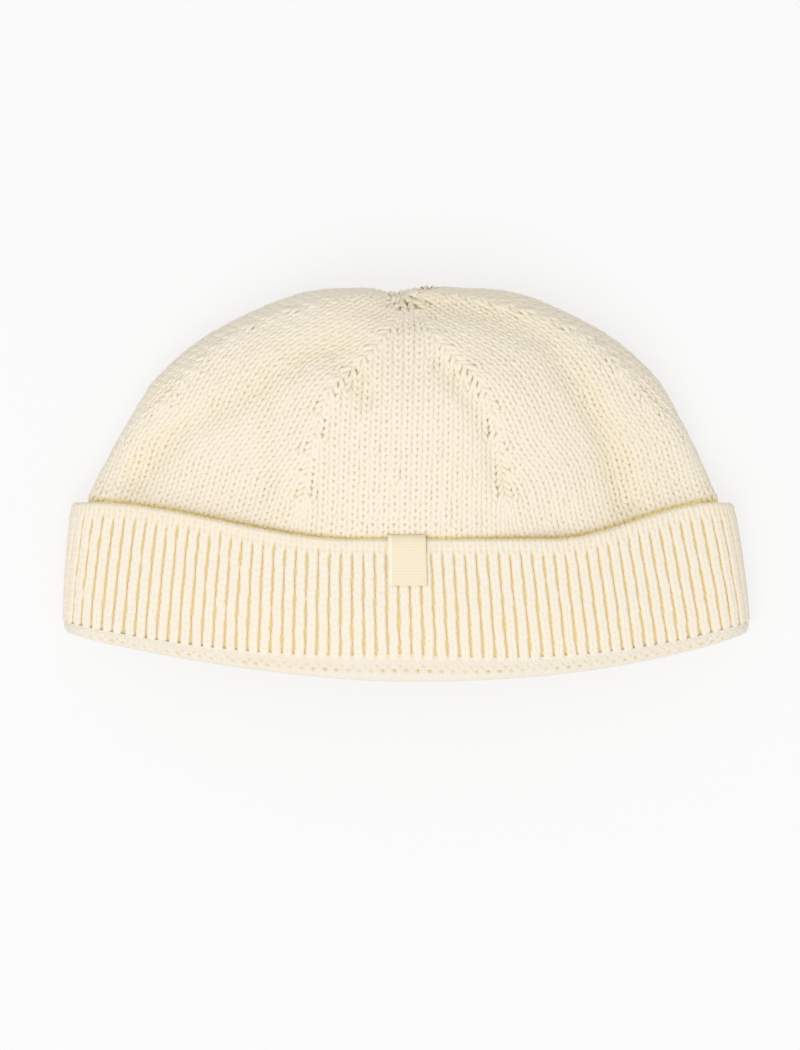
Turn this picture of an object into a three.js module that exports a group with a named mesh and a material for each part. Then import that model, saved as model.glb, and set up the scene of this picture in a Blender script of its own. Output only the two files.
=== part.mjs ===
// A knitted fisherman beanie that lies on its back, lightly puffed, as it is laid out to be looked at.
// Millimetres. +X runs across the cap, +Y towards the top of the crown, +Z up from the surface.
// The origin is the middle of the cap's outline, on the surface. The head opening looks along -Y.
import * as THREE from 'three';

// Driving sizes of the whole cap, lying down
const capLength = 132.6; // hem to top of the crown, along Y
const cuffWidth = 230; // across the hem
const cuffTopWidth = 222.4; // across the cuff's turned-up edge
const crownWidth = 210.8; // across the crown where it comes out of the cuff
const crownLoft = 48; // highest point of the puffed crown
const cuffLoft = 0.896 * crownLoft; // highest point of the cuff
const hemLoft = 0.865 * crownLoft; // highest point of the hem
const foldRadius = 10.5; // of the soft fold along each side

// Knitted walls
const jerseyWall = 2.6; // smooth knit of the crown
const ribWall = 3.6; // ribbed knit of the cuff, back to crest
const ribPitch = 3.85; // from rib to rib
const ribDepth = 1.2; // crest to groove
const clearance = 0.3; // between pieces that touch
const cuffSlack = 0.7; // more room behind the cuff, where the two knits hang loose

// Cuff and hem
const cuffHeight = 42.9; // hem line to edge line, in the middle of the front
const hemSmile = 15.5; // how far the hem hangs lower in the middle than at the sides
const edgeSmile = 12.3; // the same for the turned-up edge
const edgeShift = -1.3; // how far the edge sits to the right of the hem
const hemBand = 4; // height of the purl side that shows below the ribs, in the middle
const hemBandAtSide = 0.8; // the same at the sides
const smoothEdge = 4.5; // height of the plain rounded edge above the ribs

// Crown
const crownLean = 2.6; // how far the top leans to the right of the base
const crownShift = -1.7; // how far the base sits to the right of the hem
const gatherReach = 15; // length of the gathered pleats round the closed top
const gatherDepth = 0.9;
const gatherPleats = 12;
const topTilt = 48.7; // degrees that the closed top leans back from facing straight up

// How the knit hangs from side to side, over shares of half the width from the middle
const hemCurve = { left: 1.7, right: 2.3 }; // power of the hem's even curve
const edgeClimb = { left: 0.15, right: 0.45, end: 0.95 }; // where the cuff's edge starts to climb and ends
const courseClimb = { start: 0.1, power: 1.25, shoulder: 0.15, shoulderRun: 0.6, shoulderShare: 0.3 };
const puffPower = 1.3; // how fast the puffed front falls off towards the sides
const sideRounding = 0.5; // most of half a section's width that its side fold may round
const backRounding = { radii: 1.3, most: 0.9 }; // the same for the back, with its reach in fold radii

// Label, a short woven tape folded over the cuff's edge
const labelWidth = 12.7;
const labelDrop = 15.8; // down the front of the cuff
const labelTuck = 8; // down the inside of the cuff
const labelThickness = 0.9;
const labelShift = 1.4; // right of the middle of the cuff's edge
const labelGap = 0.5; // from the ribs under it

// How finely the soft walls are faceted
const crownFacets = 84; // round the crown
const shellSteps = 2; // from one row of the table to the next, on the crown's outside
const liningSteps = 1; // the same on its inside
const closingRings = [0.45, 0.2]; // the last rings before the closed top, in rows below it
const cuffFrontRing = 0.5; // share of the cuff's height
const cuffBackRings = [0.6, 0.35];
const labelSteps = { front: 5, edge: 6, back: 2 };
const denseSamples = 360; // round a section, to space its points evenly
const labelSamples = 600; // the same for the label's path
const sideways = 0.02; // small step along the wall, to find its slope
const tiny = 1e-9; // keeps a share of a closed section from being a share of nothing

// Sections of the crown from the cuff's edge to the closed top. front, side and back are the heights of
// the middle of the front, the side fold and the middle of the back, as shares of the crown's height
// above the cuff's edge. half is a share of half the crown's width. high, mid and low are how high the
// front, the side fold and the back lie, as shares of the crown's loft. nose is a share of the fold's radius.
const crownSections = [
  { front: -0.16, side: 0.179, back: 0.11, half: 0.995, high: 0.698, mid: 0.229, low: 0.085, nose: 0.6 },
  { front: 0.021, side: 0.341, back: 0.28, half: 0.937, high: 0.735, mid: 0.229, low: 0.05, nose: 0.62 },
  { front: 0.168, side: 0.484, back: 0.45, half: 0.875, high: 0.86, mid: 0.24, low: 0, nose: 0.8 },
  { front: 0.36, side: 0.65, back: 0.615, half: 0.789, high: 0.96, mid: 0.25, low: 0, nose: 0.95 },
  { front: 0.553, side: 0.808, back: 0.77, half: 0.636, high: 1.0, mid: 0.26, low: 0, nose: 1 },
  { front: 0.746, side: 0.939, back: 0.905, half: 0.419, high: 0.917, mid: 0.292, low: 0.06, nose: 1 },
  { front: 0.861, side: 0.985, back: 1.0, half: 0.26, high: 0.771, mid: 0.333, low: 0.188, nose: 1 },
  { front: 0.955, side: 0.975, back: 0.975, half: 0.1, high: 0.61, mid: 0.42, low: 0.32, nose: 1 },
  { front: 0.964, side: 0.964, back: 0.964, half: 0, high: 0.44, mid: 0.44, low: 0.44, nose: 1 },
];

// Soft folds on the front of the crown. rise and reach are millimetres, and way is the fold's route:
// places across, as shares of half the crown's width, and up, as shares of the crown's height.
const crownFolds = [
  { rise: -3.6, reach: 5.5, way: [[0.07, 0.94], [0.3, 0.88], [0.45, 0.79], [0.61, 0.48], [0.69, 0.17]] },
  { rise: -2.4, reach: 4, way: [[0.11, 0.69], [0.22, 0.53], [0.26, 0.4], [0.3, 0.25]] },
  { rise: -2.8, reach: 5, way: [[-0.86, 0.25], [-0.73, 0.42], [-0.5, 0.59], [-0.3, 0.75], [-0.18, 0.8]] },
  { rise: -1.3, reach: 4, way: [[-0.45, 0.55], [-0.45, 0.21]] },
  { rise: -1.6, reach: 4.5, way: [[-0.23, 0.75], [-0.13, 0.57]] },
  { rise: 1.6, reach: 8, way: [[0.07, 0.8], [0.17, 0.74], [0.3, 0.62], [0.41, 0.44], [0.52, 0.14]] },
  { rise: 1.2, reach: 6, way: [[-0.28, 0.61], [-0.3, 0.43], [-0.34, 0.32], [-0.37, 0.2]] },
];

const hemRadius = (ribWall + clearance + jerseyWall) / 2;
const hemLine = -capLength / 2 + hemRadius;
const edgeRadius = ribWall / 2;
const edgeLine = hemLine + cuffHeight;
const crownHeight = capLength / 2 - edgeLine;

const mix = (from, to, share) => from + (to - from) * share;
const ease = (share) => {
  const s = Math.min(1, Math.max(0, share));
  return s * s * (3 - 2 * s);
};

// The hem hangs in one even curve. The cuff's edge is level in the middle and climbs at its shoulders.
// Both climb later on the right than on the left.
const hemSag = (across) => Math.pow(Math.abs(across), across > 0 ? hemCurve.right : hemCurve.left);
const edgeSag = (across) => {
  const start = across > 0 ? edgeClimb.right : edgeClimb.left;
  return ease((Math.abs(across) - start) / (edgeClimb.end - start));
};

// A course of the crown runs level over the middle of the front and then climbs, steepest at first
const crownSag = (across) => {
  const away = Math.abs(across);
  const { start, power, shoulder, shoulderRun, shoulderShare } = courseClimb;
  const climb = Math.pow(Math.max(0, away - start) / (1 - start), power);
  return mix(climb, ease((away - shoulder) / shoulderRun), shoulderShare);
};

// One section of the cuff's crest, 0 at the hem line and 1 at the edge line
function cuffSection(share) {
  const front = mix(hemLine, edgeLine, share);
  return {
    front,
    side: front + mix(hemSmile, edgeSmile, share),
    back: front + mix(hemSmile, edgeSmile, share),
    half: mix(cuffWidth, cuffTopWidth, Math.pow(Math.max(share, 0), 1.5)) / 2,
    high: mix(hemLoft, cuffLoft, ease(share * 2)),
    mid: foldRadius,
    low: 0,
    lean: edgeShift * share,
    nose: foldRadius,
    sag: (across) => mix(hemSag(across), edgeSag(across), share),
  };
}

// The same section moved inwards by a wall
function inset(section, depth) {
  return {
    ...section,
    half: section.half - depth,
    high: section.high - depth,
    low: section.low + depth,
    nose: section.nose - depth,
  };
}

function rowSection(row) {
  const place = (share) => edgeLine + share * crownHeight;
  return {
    front: place(row.front),
    side: place(row.side),
    back: place(row.back),
    half: (row.half * crownWidth) / 2,
    high: row.high * crownLoft,
    mid: row.mid * crownLoft,
    low: row.low * crownLoft,
    lean: crownShift + crownLean * row.side,
    nose: row.nose * foldRadius,
    sag: crownSag,
  };
}

// The crown runs down inside the cuff to the hem, so its first sections are the cuff's own, moved inwards
const underCuff = ribWall + clearance;
const crownRows = [
  inset(cuffSection(0), underCuff),
  inset(cuffSection(0.2), underCuff + cuffSlack),
  inset(cuffSection(0.45), underCuff + cuffSlack),
  ...crownSections.map(rowSection),
];

// A section between two rows, on a smooth curve through all of them
function crownSection(place) {
  const last = crownRows.length - 1;
  const at = Math.min(last - tiny, Math.max(0, place));
  const index = Math.floor(at);
  const t = at - index;
  const row = (i) => crownRows[Math.min(last, Math.max(0, i))];
  const blend = (key) => {
    const [a, b, c, d] = [row(index - 1)[key], row(index)[key], row(index + 1)[key], row(index + 2)[key]];
    return b + (t * (c - a + t * (2 * a - 5 * b + 4 * c - d + t * (3 * (b - c) + d - a)))) / 2;
  };
  const keys = ['front', 'side', 'back', 'half', 'high', 'mid', 'low', 'lean', 'nose'];
  const section = Object.fromEntries(keys.map((key) => [key, blend(key)]));
  section.half = Math.max(0, section.half);
  section.low = Math.max(0, section.low);
  section.sag = (across) => mix(row(index).sag(across), row(index + 1).sag(across), t);
  return section;
}

// A point of a section: turn runs 0 to 4 from the middle of the front over +X, the back and -X
function sectionPoint(section, turn) {
  const across = Math.sin((turn * Math.PI) / 2);
  const onFront = Math.cos((turn * Math.PI) / 2) >= 0;
  const x = across * section.half;
  const sag = section.sag(across);
  const fold = (radius) => {
    const past = Math.max(0, (Math.abs(x) - (section.half - radius)) / radius);
    return Math.sqrt(Math.max(0, 1 - past * past));
  };
  const middle = onFront ? section.front : section.back;
  const y = mix(middle, section.side, sag);
  if (!onFront) {
    const reach = Math.min(backRounding.radii * section.nose, backRounding.most * section.half) + tiny;
    const z = section.mid - (section.mid - section.low) * fold(reach);
    return new THREE.Vector3(x + section.lean, y, z);
  }
  const lift = section.high - section.mid;
  const nose = Math.min(section.nose, sideRounding * section.half, lift) + tiny;
  const puff = Math.pow(Math.max(0, 1 - across * across), puffPower);
  return new THREE.Vector3(x + section.lean, y, section.mid + nose * fold(nose) + (lift - nose) * puff);
}

// Evenly spaced points round a section, from the middle of the front
function ring(section, count) {
  const dense = [];
  for (let i = 0; i <= denseSamples; i += 1) dense.push(sectionPoint(section, (4 * i) / denseSamples));
  const run = [0];
  for (let i = 1; i < dense.length; i += 1) run.push(run[i - 1] + dense[i].distanceTo(dense[i - 1]));
  const points = [];
  let at = 0;
  for (let i = 0; i < count; i += 1) {
    const goal = (run[denseSamples] * i) / count;
    while (run[at + 1] < goal) at += 1;
    const share = (goal - run[at]) / Math.max(tiny, run[at + 1] - run[at]);
    points.push(dense[at].clone().lerp(dense[at + 1], share));
  }
  return points;
}

// The points of a ring with the way out of the wall and the way up the cap at each
function framedRing(sectionAt, place, count) {
  const here = ring(sectionAt(place), count);
  const above = ring(sectionAt(place + sideways), count);
  const below = ring(sectionAt(place - sideways), count);
  return here.map((point, i) => {
    const up = above[i].clone().sub(below[i]).normalize();
    const around = here[(i + 1) % count].clone().sub(here[(i + count - 1) % count]);
    const out = around.cross(up).normalize();
    return { point, up, out };
  });
}

const moved = (frame, outwards, upwards = 0) =>
  frame.point.clone().addScaledVector(frame.out, outwards).addScaledVector(frame.up, upwards);
const onSurface = (point) => {
  point.z = Math.max(0, point.z);
  return point;
};

// A closed body from rings of points, each joined to the next. With poles the ends close on a point,
// without them the last ring joins the first.
function skin(rings, poles) {
  const count = rings[0].length;
  const points = rings.flat();
  const faces = [];
  const pairs = poles ? rings.length - 1 : rings.length;
  for (let r = 0; r < pairs; r += 1) {
    const low = r * count;
    const high = ((r + 1) % rings.length) * count;
    for (let i = 0; i < count; i += 1) {
      const next = (i + 1) % count;
      faces.push(low + i, low + next, high + next, low + i, high + next, high + i);
    }
  }
  if (poles) {
    const first = points.push(poles[0]) - 1;
    const last = points.push(poles[1]) - 1;
    const top = (rings.length - 1) * count;
    for (let i = 0; i < count; i += 1) {
      const next = (i + 1) % count;
      faces.push(first, next, i, last, top + i, top + next);
    }
  }
  const geometry = new THREE.BufferGeometry();
  const positions = points.flatMap((point) => point.toArray());
  geometry.setAttribute('position', new THREE.Float32BufferAttribute(positions, 3));
  geometry.setIndex(faces);
  geometry.computeVertexNormals();
  return geometry;
}

// Height that the folds and the gathered top add to the front of the crown
function relief(point) {
  const flat = new THREE.Vector3(point.x, point.y, 0);
  let height = 0;
  for (const { rise, reach, way } of crownFolds) {
    const places = way.map(([across, up]) =>
      new THREE.Vector3((across * crownWidth) / 2, edgeLine + up * crownHeight, 0));
    const distances = places.slice(1).map((place, i) => {
      const crease = new THREE.Line3(places[i], place);
      return crease.closestPointToPoint(flat, true, new THREE.Vector3()).distanceTo(flat);
    });
    const away = Math.min(...distances) / reach;
    height += rise * Math.exp(-away * away);
  }
  return height;
}

const top = sectionPoint(crownSection(crownRows.length - 1), 0);
function gather(point) {
  const away = Math.hypot(point.x - top.x, point.y - top.y, point.z - top.z);
  const heading = Math.atan2(point.x - top.x, top.y - point.y);
  const share = Math.min(1, away / gatherReach);
  const puckered = Math.sin(Math.PI * share) * (1 - share);
  return gatherDepth * puckered * Math.cos(gatherPleats * heading);
}

function softened(frame) {
  const facing = Math.max(0, frame.out.z);
  const free = ease((frame.point.y - edgeLine) / smoothEdge);
  const height = (relief(frame.point) * facing * facing + gather(frame.point)) * free;
  return onSurface(moved(frame, height));
}

// Height of the purl band under the ribs, at a share of the way round from the middle of the front
const bandHeight = (round) => mix(hemBand, hemBandAtSide, Math.abs(Math.sin(2 * Math.PI * round)));

// Crown of smooth knit: a dome that runs down inside the cuff and rolls outwards into the hem
function crown() {
  const last = crownRows.length - 1;
  const places = (steps) => {
    const list = [];
    for (let place = 1; place <= last - 1; place += 1 / steps) list.push(place);
    return [...list, ...closingRings.map((rows) => last - rows)];
  };
  const free = (place) => framedRing(crownSection, place, crownFacets);
  const lining = places(liningSteps).reverse().map((place) =>
    free(place).map((frame) => softened(frame).addScaledVector(frame.out, -jerseyWall)));
  const hemRing = framedRing(cuffSection, 0, crownFacets);
  const roll = [180, 135, 90, 45, 0].map((degrees) => {
    const angle = (degrees * Math.PI) / 180;
    const [inwards, downwards] = [hemRadius * (1 - Math.cos(angle)), hemRadius * Math.sin(angle)];
    return hemRing.map((frame) => moved(frame, -inwards, -downwards));
  });
  const lipRing = (depth) => hemRing.map((frame, i) => moved(frame, -depth, bandHeight(i / crownFacets)));
  const shell = places(shellSteps).map((place) => free(place).map(softened));
  const rings = [...lining, ...roll, lipRing(0), lipRing(underCuff), ...shell];
  const tilt = (topTilt * Math.PI) / 180;
  const facing = new THREE.Vector3(0, Math.sin(tilt), Math.cos(tilt));
  return skin(rings, [top.clone().addScaledVector(facing, -jerseyWall), top]);
}

// Cuff of ribbed knit: a band round the crown, with a crest and a groove for each rib
function cuff() {
  const around = ring(cuffSection(0.5), denseSamples);
  const girth = around.reduce((sum, p, i) => sum + p.distanceTo(around[(i + 1) % denseSamples]), 0);
  const ribs = Math.round(girth / ribPitch);
  const count = ribs * 2;
  const groove = (i) => (i % 2 ? ribDepth : 0);
  const lip = (i) => bandHeight(i / count) + clearance;
  const band = (share, depthAt) => {
    const frames = framedRing(cuffSection, share, count);
    return frames.map((frame, i) => onSurface(moved(frame, -depthAt(i))));
  };
  const hem = framedRing(cuffSection, 0, count);
  const foot = (depthAt) => hem.map((frame, i) => onSurface(moved(frame, -depthAt(i), lip(i))));
  const ribTop = 1 - smoothEdge / cuffHeight;
  const edge = [45, 135].map((degrees) => {
    const angle = (degrees * Math.PI) / 180;
    const [inwards, upwards] = [edgeRadius * (1 - Math.cos(angle)), edgeRadius * Math.sin(angle)];
    return framedRing(cuffSection, 1, count).map((frame) => moved(frame, -inwards, upwards));
  });
  const rings = [
    foot(groove), band(cuffFrontRing, groove), band(ribTop, groove), band((ribTop + 1) / 2, () => 0),
    ...edge,
    ...cuffBackRings.map((share) => band(share, () => ribWall)), foot(() => ribWall),
  ];
  return skin(rings, null);
}

// Label: a strip of woven tape that follows the cuff's front, its rounded edge and its back
function label() {
  const down = (length) => framedRing(cuffSection, 1 - length / cuffHeight, labelSamples)[0];
  const path = [];
  for (let i = labelSteps.front; i >= 0; i -= 1) {
    const frame = down(((labelDrop - edgeRadius) * i) / labelSteps.front);
    path.push({ at: frame.point, out: frame.out });
  }
  const middle = down(0);
  const centre = moved(middle, -edgeRadius);
  for (let i = 1; i < labelSteps.edge; i += 1) {
    const angle = (Math.PI * i) / labelSteps.edge;
    const out = middle.out.clone().multiplyScalar(Math.cos(angle));
    out.addScaledVector(middle.up, Math.sin(angle));
    path.push({ at: centre.clone().addScaledVector(out, edgeRadius), out });
  }
  for (let i = 0; i <= labelSteps.back; i += 1) {
    const frame = down((labelTuck * i) / labelSteps.back);
    path.push({ at: moved(frame, -ribWall), out: frame.out.clone().negate() });
  }
  const half = labelWidth / 2;
  const rings = path.map(({ at, out }) => {
    const corner = (x, lift) => {
      const place = at.clone().addScaledVector(out, lift);
      place.x += x + labelShift;
      return place;
    };
    const outer = labelGap + labelThickness;
    return [corner(-half, outer), corner(half, outer), corner(half, labelGap), corner(-half, labelGap)];
  });
  const ends = [rings[0], rings[rings.length - 1]].map((r) => r[0].clone().add(r[2]).multiplyScalar(0.5));
  return skin(rings, ends);
}

function piece(name, geometry, color, roughness) {
  const mesh = new THREE.Mesh(geometry, new THREE.MeshStandardMaterial({ color, roughness, metalness: 0 }));
  mesh.name = name;
  return mesh;
}

const beanie = new THREE.Group();
beanie.add(piece('crown', crown(), 0xf4ecd8, 0.95));
beanie.add(piece('cuff', cuff(), 0xf5e9cb, 0.95));
beanie.add(piece('label', label(), 0xf0e4c4, 0.85));

export default beanie;
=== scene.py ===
import math

import bpy
import numpy as np
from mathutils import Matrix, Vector


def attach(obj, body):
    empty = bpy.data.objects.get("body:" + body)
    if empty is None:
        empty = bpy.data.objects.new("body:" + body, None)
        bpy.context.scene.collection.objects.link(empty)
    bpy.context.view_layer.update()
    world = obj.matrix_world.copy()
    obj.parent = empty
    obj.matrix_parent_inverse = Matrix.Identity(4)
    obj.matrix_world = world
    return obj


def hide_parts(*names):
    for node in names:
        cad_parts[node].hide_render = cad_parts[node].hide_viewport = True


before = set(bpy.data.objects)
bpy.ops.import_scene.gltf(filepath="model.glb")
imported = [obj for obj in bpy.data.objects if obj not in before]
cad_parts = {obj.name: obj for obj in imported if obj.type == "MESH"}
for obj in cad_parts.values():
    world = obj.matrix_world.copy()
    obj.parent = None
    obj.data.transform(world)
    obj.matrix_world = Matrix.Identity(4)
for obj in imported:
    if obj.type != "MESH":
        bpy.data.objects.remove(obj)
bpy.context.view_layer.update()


# The crown is one tube of smooth knit in soft cream wool. It lies on its back with its front lightly
# puffed up, and its lower end runs down inside the turned-up cuff. Six lines of decreases shape it, and
# in the six panels between them each loop of the yarn is a stretch of tube that hooks into the next.
MILLIMETRE = 0.001
CAP_LENGTH, CROWN_WIDTH, CROWN_LOFT = 132.6, 210.8, 48.0
CROWN_LEAN, CROWN_SHIFT = 2.6, -1.7
CUFF_WIDTH, CUFF_TOP_WIDTH, CUFF_HEIGHT = 230.0, 222.4, 42.9
CUFF_LOFT, HEM_LOFT, FOLD_RADIUS = 43.0, 41.5, 10.5
JERSEY_WALL, RIB_WALL, CLEARANCE, CUFF_SLACK = 2.6, 3.6, 0.3, 0.7
HEM_RADIUS = (RIB_WALL + CLEARANCE + JERSEY_WALL) / 2
HEM_LINE = HEM_RADIUS - CAP_LENGTH / 2
EDGE_LINE = HEM_LINE + CUFF_HEIGHT
CROWN_HEIGHT = CAP_LENGTH / 2 - EDGE_LINE
UNDER_CUFF = RIB_WALL + CLEARANCE

# How far the hem and the cuff's edge rise towards the sides, and how they bend on the way there
HEM_SMILE, EDGE_SMILE, EDGE_SHIFT = 15.5, 12.3, -1.3
HEM_BEND_LEFT, HEM_BEND_RIGHT = 1.7, 2.3
EDGE_BEND_LEFT, EDGE_BEND_RIGHT, EDGE_BEND_END = 0.15, 0.45, 0.95
CUFF_FLARE = 1.5
SHOULDER, SHOULDER_START, SHOULDER_RUN = 0.3, 0.15, 0.6
SIDE_BEND_START, SIDE_BEND = 0.1, 1.25

# Shares of the crown's height at the front, side and back, of half its width, and of its loft at the top,
# the middle and below, then of the fold's radius, in rows from the cuff's edge to the closed top
CROWN_SECTIONS = (
    (-0.16, 0.179, 0.11, 0.995, 0.74, 0.229, 0.085, 0.6),
    (0.021, 0.341, 0.28, 0.937, 0.82, 0.229, 0.05, 0.62),
    (0.168, 0.484, 0.45, 0.875, 0.9, 0.24, 0, 0.8),
    (0.36, 0.65, 0.615, 0.789, 0.96, 0.25, 0, 0.95),
    (0.553, 0.808, 0.77, 0.636, 1.0, 0.26, 0, 1),
    (0.746, 0.939, 0.905, 0.419, 0.917, 0.292, 0.06, 1),
    (0.861, 0.985, 1.0, 0.26, 0.771, 0.333, 0.188, 1),
    (0.955, 0.975, 0.975, 0.1, 0.61, 0.42, 0.32, 1),
    (0.964, 0.964, 0.964, 0, 0.44, 0.44, 0.44, 1),
)


def ease(share):
    share = np.clip(share, 0, 1)
    return share * share * (3 - 2 * share)


def through(a, b, c, d, t):
    """A smooth curve from b to c that comes from a and goes on to d."""
    return b + t * (c - a + t * (2 * a - 5 * b + 4 * c - d + t * (3 * (b - c) + d - a))) / 2


def hem_bend(across):
    return np.abs(across) ** np.where(across > 0, HEM_BEND_RIGHT, HEM_BEND_LEFT)


def edge_bend(across):
    start = np.where(across > 0, EDGE_BEND_RIGHT, EDGE_BEND_LEFT)
    return ease((np.abs(across) - start) / (EDGE_BEND_END - start))


def crown_bend(across):
    off_middle = np.abs(across)
    side = (np.maximum(0, off_middle - SIDE_BEND_START) / (1 - SIDE_BEND_START)) ** SIDE_BEND
    return SHOULDER * ease((off_middle - SHOULDER_START) / SHOULDER_RUN) + (1 - SHOULDER) * side


def cuff_section(share, depth=0.0):
    """The cuff's outside at a share of its height, or the knit that lies a depth inside it."""
    front = HEM_LINE + share * CUFF_HEIGHT
    side = front + HEM_SMILE + (EDGE_SMILE - HEM_SMILE) * share
    half = (CUFF_WIDTH + (CUFF_TOP_WIDTH - CUFF_WIDTH) * max(share, 0) ** CUFF_FLARE) / 2
    high = HEM_LOFT + (CUFF_LOFT - HEM_LOFT) * float(ease(share * 2))
    lean = EDGE_SHIFT * share
    values = (front, side, side, half - depth, high - depth, FOLD_RADIUS, depth, lean, FOLD_RADIUS - depth)

    def bend(across):
        return hem_bend(across) + (edge_bend(across) - hem_bend(across)) * share

    return np.array(values, float), bend


def crown_section_row(row):
    front, side, back, half, high, mid, low, nose = row
    heights = [EDGE_LINE + share * CROWN_HEIGHT for share in (front, side, back)]
    lofts = [share * CROWN_LOFT for share in (high, mid, low)]
    lean = CROWN_SHIFT + CROWN_LEAN * side
    return np.array([*heights, half * CROWN_WIDTH / 2, *lofts, lean, nose * FOLD_RADIUS]), crown_bend


CROWN_ROWS = [cuff_section(0, UNDER_CUFF)]
CROWN_ROWS += [cuff_section(share, UNDER_CUFF + CUFF_SLACK) for share in (0.2, 0.45)]
CROWN_ROWS += [crown_section_row(row) for row in CROWN_SECTIONS]
LAST_ROW = len(CROWN_ROWS) - 1
TINY = 1e-9


def crown_section(place):
    """The crown's section anywhere between the rows of its table."""
    at = min(LAST_ROW - 1e-6, max(0.0, place))
    index = int(at)
    t = at - index
    values = through(*(CROWN_ROWS[min(LAST_ROW, max(0, index + step))][0] for step in (-1, 0, 1, 2)), t)
    values[3], values[6] = max(0, values[3]), max(0, values[6])
    near, far = CROWN_ROWS[index][1], CROWN_ROWS[index + 1][1]
    return values, lambda across: near(across) * (1 - t) + far(across) * t


def run_along(points):
    """How far each point lies from the first, along the line through them all."""
    return np.concatenate([[0], np.cumsum(np.linalg.norm(np.diff(points, axis=0), axis=1))])


def evenly(points, run, count):
    """Evenly spaced points on a line. The last lies one step before the line's end."""
    goals = np.arange(count) * run[-1] / count
    return np.stack([np.interp(goals, run, points[:, axis]) for axis in range(3)], 1)


QUARTER_TURNS = np.linspace(0, 4, 1441)
UNDER_REACH, UNDER_LIMIT, RIM_LIMIT, DOME = 1.3, 0.9, 0.5, 1.3


def ring(section, columns):
    """A section as evenly spaced points, from the middle of the front round by the right side."""
    values, bend = section
    front, side, back, half, high, mid, low, lean, nose = values
    across = np.sin(QUARTER_TURNS * math.pi / 2)
    on_front = np.cos(QUARTER_TURNS * math.pi / 2) >= 0
    x = across * half
    y = np.where(on_front, front, back)
    y = y + (side - y) * bend(across)

    def fold(radius):
        past = np.maximum(0, (np.abs(x) - (half - radius)) / radius)
        return np.sqrt(np.maximum(0, 1 - past * past))

    under = mid - (mid - low) * fold(min(UNDER_REACH * nose, UNDER_LIMIT * half) + TINY)
    lift = high - mid
    rim = min(nose, RIM_LIMIT * half, lift) + TINY
    over = mid + rim * fold(rim) + (lift - rim) * np.maximum(0, 1 - across * across) ** DOME
    points = np.stack([x + lean, y, np.where(on_front, over, under)], 1)
    return evenly(points, run_along(points), columns)


def unit(vectors):
    return vectors / np.maximum(TINY, np.linalg.norm(vectors, axis=-1, keepdims=True))


def off_table(points, gap=0.0):
    """The same points, but none lower than a gap above the table that the cap lies on."""
    return np.concatenate([points[..., :2], np.maximum(gap, points[..., 2:])], -1)


class Wall:
    """A soft wall as rings of evenly spaced points, read at any row and any share of the way round."""

    def __init__(self, rings, outwards=1):
        self.rings = rings
        around = np.roll(rings, -1, 1) - np.roll(rings, 1, 1)
        self.along = unit(np.gradient(rings, axis=0))
        self.out = outwards * unit(np.cross(around, self.along))
        self.girth = np.linalg.norm(np.roll(rings, -1, 1) - rings, axis=2).sum(1)

    def read(self, field, row, share):
        """Values of a field of the wall, such as its points or its ways out, between its own points."""
        rows, columns = field.shape[:2]
        row = np.clip(row, 0, rows - 1.000001)
        column = (share % 1.0) * columns
        r, c = row.astype(int), column.astype(int) % columns
        tr, tc = (row - r)[..., None], (column - np.floor(column))[..., None]
        d = (c + 1) % columns
        low = field[r, c] * (1 - tc) + field[r, d] * tc
        high = field[r + 1, c] * (1 - tc) + field[r + 1, d] * tc
        return low * (1 - tr) + high * tr

    def girth_at(self, row):
        return np.interp(row, np.arange(len(self.girth)), self.girth)


# Soft folds on the crown's front: height and reach in millimetres, then the crease's way as shares of
# half the crown's width and of its height
CROWN_FOLDS = (
    (-2.6, 5.5, ((0.074, 0.939), (0.296, 0.881), (0.454, 0.785), (0.533, 0.63), (0.612, 0.476),
                 (0.675, 0.283), (0.691, 0.168))),
    (-1.6, 4.0, ((0.106, 0.688), (0.217, 0.534), (0.264, 0.399), (0.296, 0.245))),
    (-1.7, 5.0, ((-0.859, 0.245), (-0.732, 0.418), (-0.495, 0.592), (-0.305, 0.746), (-0.179, 0.804))),
    (-1.0, 4.0, ((-0.447, 0.553), (-0.447, 0.206))),
    (-1.6, 4.5, ((-0.226, 0.746), (-0.131, 0.573))),
    (1.1, 8.0, ((0.065, 0.804), (0.172, 0.738), (0.302, 0.623), (0.41, 0.438), (0.485, 0.268),
                (0.517, 0.137))),
    (1.2, 6.0, ((-0.28, 0.607), (-0.299, 0.426), (-0.343, 0.322), (-0.365, 0.202))),
    (1.0, 5.0, ((-0.15, 0.83), (-0.05, 0.83), (0.065, 0.804))),
)
CLOSED_TOP = ring(crown_section(LAST_ROW), 8)[0]
GATHER_REACH, GATHER_DEPTH, GATHER_PLEATS = 18.0, 1.2, 12
PULL_REACH, PULL_SHIFT = 8.0, (-3.0, 0, -1.5)
NOTCH_DEPTH, NOTCH_REACH, NOTCH_LENGTH, NOTCH_X = 2.4, 6.5, 10.0, -3.2


def relief(points):
    """How far the soft folds lift the knit, or press it in."""
    rise = np.zeros(points.shape[:-1])
    for height, reach, shares in CROWN_FOLDS:
        crease = np.array([0, EDGE_LINE]) + np.array(shares) * (CROWN_WIDTH / 2, CROWN_HEIGHT)
        distance = np.full(rise.shape, np.inf)
        for start, end in zip(crease, crease[1:]):
            way, place = end - start, points[..., :2] - start
            share = np.clip(place @ way / (way @ way), 0, 1)
            distance = np.minimum(distance, np.linalg.norm(place - share[..., None] * way, axis=-1))
        rise += height * np.exp(-(distance / reach) ** 2)
    return rise


def gather(points):
    """The small pleats that run into the closed top."""
    distance = np.linalg.norm(points - CLOSED_TOP, axis=-1)
    heading = np.arctan2(points[..., 0] - CLOSED_TOP[0], CLOSED_TOP[1] - points[..., 1])
    share = np.minimum(1, distance / GATHER_REACH)
    return GATHER_DEPTH * np.sin(math.pi * share) * (1 - share) * np.cos(GATHER_PLEATS * heading)


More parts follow.
